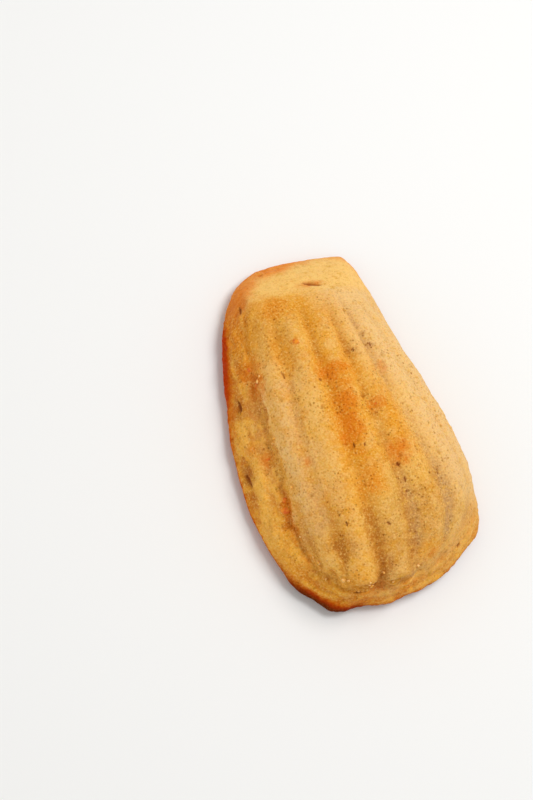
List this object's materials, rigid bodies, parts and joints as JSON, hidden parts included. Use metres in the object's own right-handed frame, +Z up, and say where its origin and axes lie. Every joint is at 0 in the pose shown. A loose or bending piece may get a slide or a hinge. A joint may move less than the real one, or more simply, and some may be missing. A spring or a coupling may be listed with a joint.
{
  "type": "madeleine cake",
  "caption": "Small shell-shaped sponge cake with soft lengthwise ribs on top, a plain sloping wall and a gently domed baked side it rests on.",
  "frame": {"origin": "on the underside, in the middle of the cake's bounding box", "axes": "+Z up out of the ribbed shell, +Y along the cake towards its squared narrow end, +X to the right seen from above with the narrow end away"},
  "size_m": [0.048, 0.0754, 0.02],
  "materials": {
    "golden_crust": "dry golden sponge crust, fine pores, matt"
  },
  "bodies": {
    "root": {"madeleine_cake": "golden_crust"}
  },
  "joints": []
}
